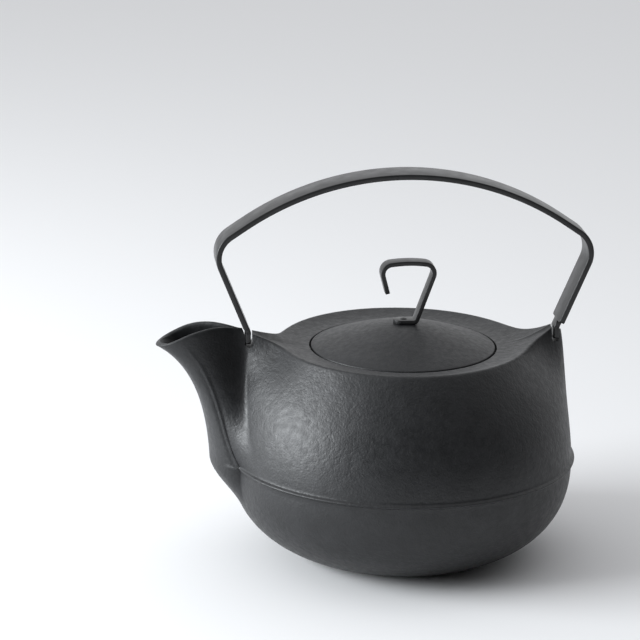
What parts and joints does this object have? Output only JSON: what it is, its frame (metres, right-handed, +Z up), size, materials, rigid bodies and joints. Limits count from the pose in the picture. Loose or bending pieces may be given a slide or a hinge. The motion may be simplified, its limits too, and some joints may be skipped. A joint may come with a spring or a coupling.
{
  "type": "cast iron kettle",
  "caption": "Cast iron kettle with a round bowl, an open beak spout, a flush lift-off lid with a bent strip knob, and a fixed flat-bar bail handle.",
  "frame": {"origin": "centre of the flat foot, on the surface that the kettle stands on", "axes": "+Z up; the spout points along -X; the bail handle lies in the XZ plane; the kettle is the same on its +Y and -Y sides"},
  "size_m": [0.2006, 0.1612, 0.1794],
  "materials": {
    "cast_body": "matte black cast iron with a fine orange-peel casting grain",
    "cast_lid": "matte black cast iron, slightly smoother than the body",
    "forged_bar": "satin black forged flat steel bar",
    "bent_strip": "satin black bent steel strip",
    "rivet_steel": "satin black steel rivet",
    "washer_steel": "satin black steel washer"
  },
  "bodies": {
    "kettle": {"kettle_body": "cast_body", "handle": "forged_bar"},
    "lid": {"lid": "cast_lid", "lid_knob": "bent_strip", "knob_rivet": "rivet_steel", "rivet_washer": "washer_steel"}
  },
  "joints": [
    {"name": "lid_lift", "type": "slide", "parent": "kettle", "child": "lid", "axis": [0, 0, 1], "range_m": [0, 0.034]}
  ]
}
